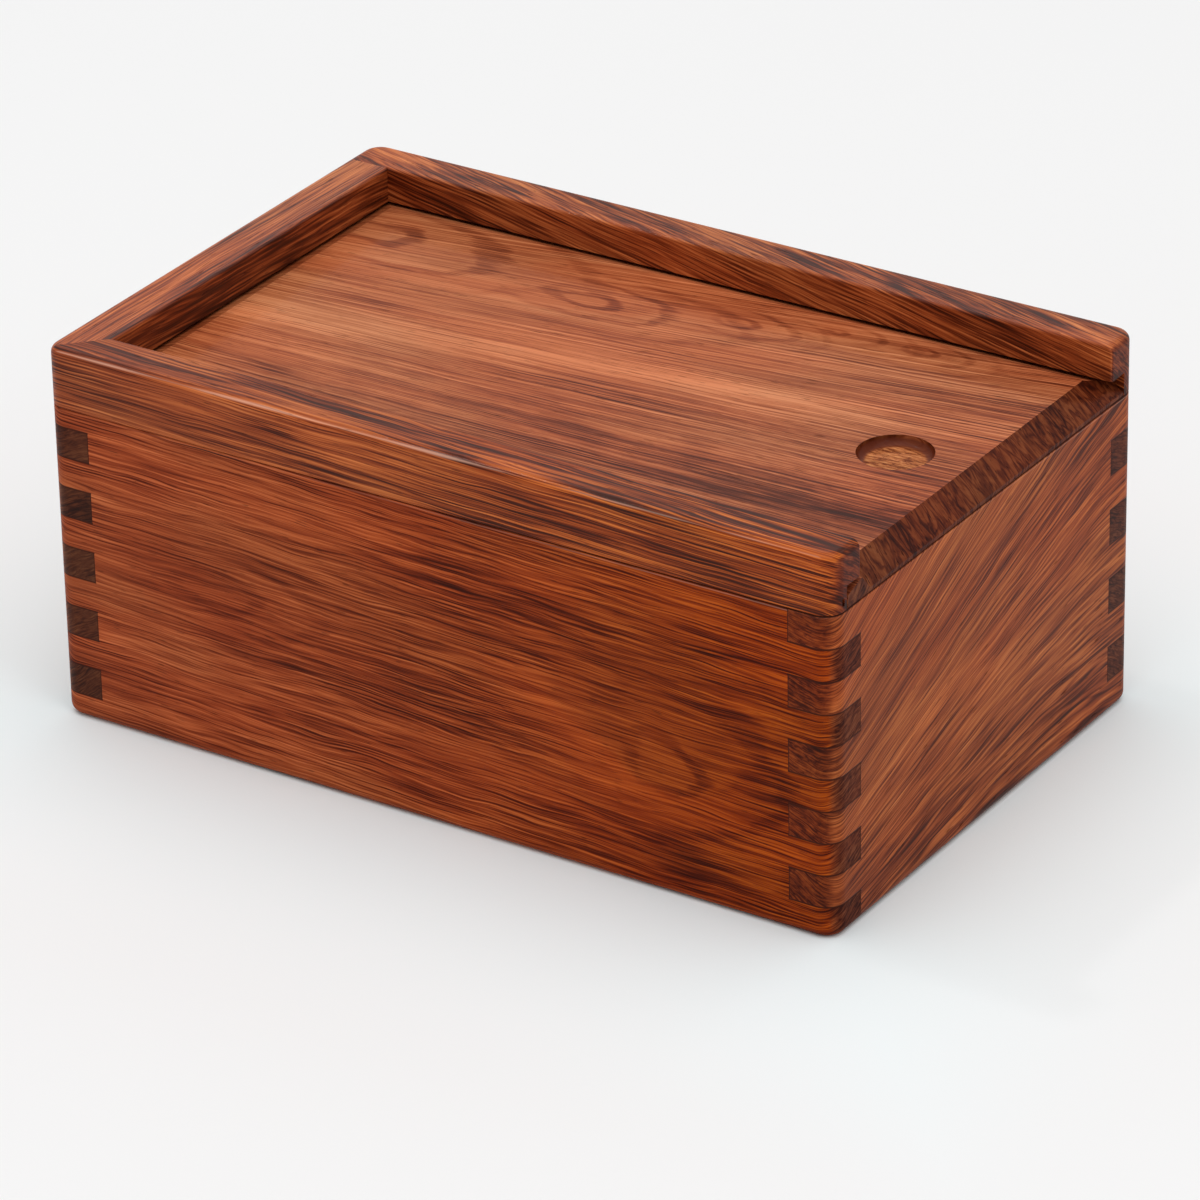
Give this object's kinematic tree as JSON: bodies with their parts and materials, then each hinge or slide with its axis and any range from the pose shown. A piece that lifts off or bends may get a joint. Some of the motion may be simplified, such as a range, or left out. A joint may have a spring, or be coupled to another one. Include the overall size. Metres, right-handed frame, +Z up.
{
  "type": "chess box with sliding lid",
  "caption": "Rectangular hardwood box with finger-jointed corners, grooved top rails and a sliding raised-panel lid with a round finger recess.",
  "frame": {"origin": "middle of the underside", "axes": "+X along the length towards the open end, where the lid slides out; +Y towards the back; +Z up"},
  "size_m": [0.2, 0.128, 0.09],
  "materials": {
    "wall_wood": "satin oiled red-brown rosewood, end grain darker",
    "rail_wood": "satin oiled red-brown rosewood, straight grain",
    "lid_wood": "satin oiled red-brown rosewood, figured grain",
    "bottom_wood": "satin oiled red-brown rosewood, plain sawn"
  },
  "bodies": {
    "box": {"front_wall": "wall_wood", "back_wall": "wall_wood", "left_wall": "wall_wood", "right_wall": "wall_wood", "bottom_panel": "bottom_wood", "front_rail": "rail_wood", "back_rail": "rail_wood", "left_rail": "rail_wood"},
    "lid": {"lid": "lid_wood"}
  },
  "joints": [
    {"name": "lid_slide", "type": "slide", "parent": "box", "child": "lid", "axis": [1, 0, 0], "range_m": [0, 0.2]}
  ]
}
